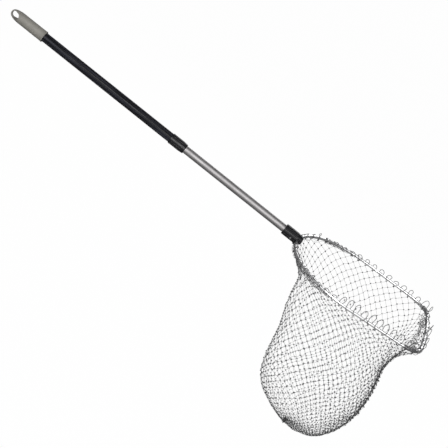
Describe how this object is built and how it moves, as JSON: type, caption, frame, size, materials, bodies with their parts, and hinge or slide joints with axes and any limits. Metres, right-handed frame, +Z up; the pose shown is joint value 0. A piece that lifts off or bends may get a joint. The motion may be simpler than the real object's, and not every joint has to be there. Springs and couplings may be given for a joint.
{
  "type": "landing net",
  "caption": "Telescoping landing net: hanging cap, fluted outer tube, twist-lock collar, bare inner tube, push-button yoke, bent tube hoop and knotted twine bag.",
  "frame": {"origin": "on the handle's axis, where the end cap's straight sleeve begins", "axes": "+X runs along the handle from the end cap to the hoop, +Z is up with the hoop level and the bag hanging down, +Y is across the hoop"},
  "size_m": [1.6091, 0.4762, 0.5455],
  "materials": {
    "cap_plastic": "warm grey soft-touch moulding",
    "black_tube": "black coated fluted tube",
    "inner_plastic": "black nylon",
    "steel": "plain steel",
    "collet_plastic": "natural nylon",
    "black_plastic": "ribbed black moulding",
    "satin_aluminium": "satin drawn tube",
    "bright_steel": "bright plated",
    "bright_aluminium": "bright drawn tube",
    "dowel_wood": "plain hardwood",
    "twine": "grey knotted nylon twine"
  },
  "bodies": {
    "handle": {"end_cap": "cap_plastic", "outer_tube": "black_tube", "thread_sleeve": "inner_plastic", "sleeve_pins": "steel", "split_collet": "collet_plastic"},
    "collar": {"lock_collar": "black_plastic"},
    "head": {"inner_tube": "satin_aluminium", "guide_bush": "inner_plastic", "bush_pin": "steel", "spring_heel": "steel", "yoke": "black_plastic", "hoop_screws": "steel", "hoop": "bright_aluminium", "hoop_dowel": "dowel_wood", "shoulder_bunches": "twine", "corner_lashings": "twine", "rim_loops": "twine", "net_bag": "twine", "gather_knot": "twine"},
    "button": {"snap_button": "bright_steel", "button_leaf": "steel"}
  },
  "joints": [
    {"name": "collar_twist", "type": "hinge", "parent": "handle", "child": "collar", "pos_m": [0.61, 0, 0], "axis": [1, 0, 0], "range_deg": [0, 120]},
    {"name": "tube_slide", "type": "slide", "parent": "handle", "child": "head", "axis": [1, 0, 0], "range_m": [-0.385, 0]},
    {"name": "button_press", "type": "slide", "parent": "head", "child": "button", "axis": [0, 0.9135, 0.4067], "range_m": [0, 0.0063], "stiffness_N_per_m": 3000, "springref_m": -0.002}
  ]
}
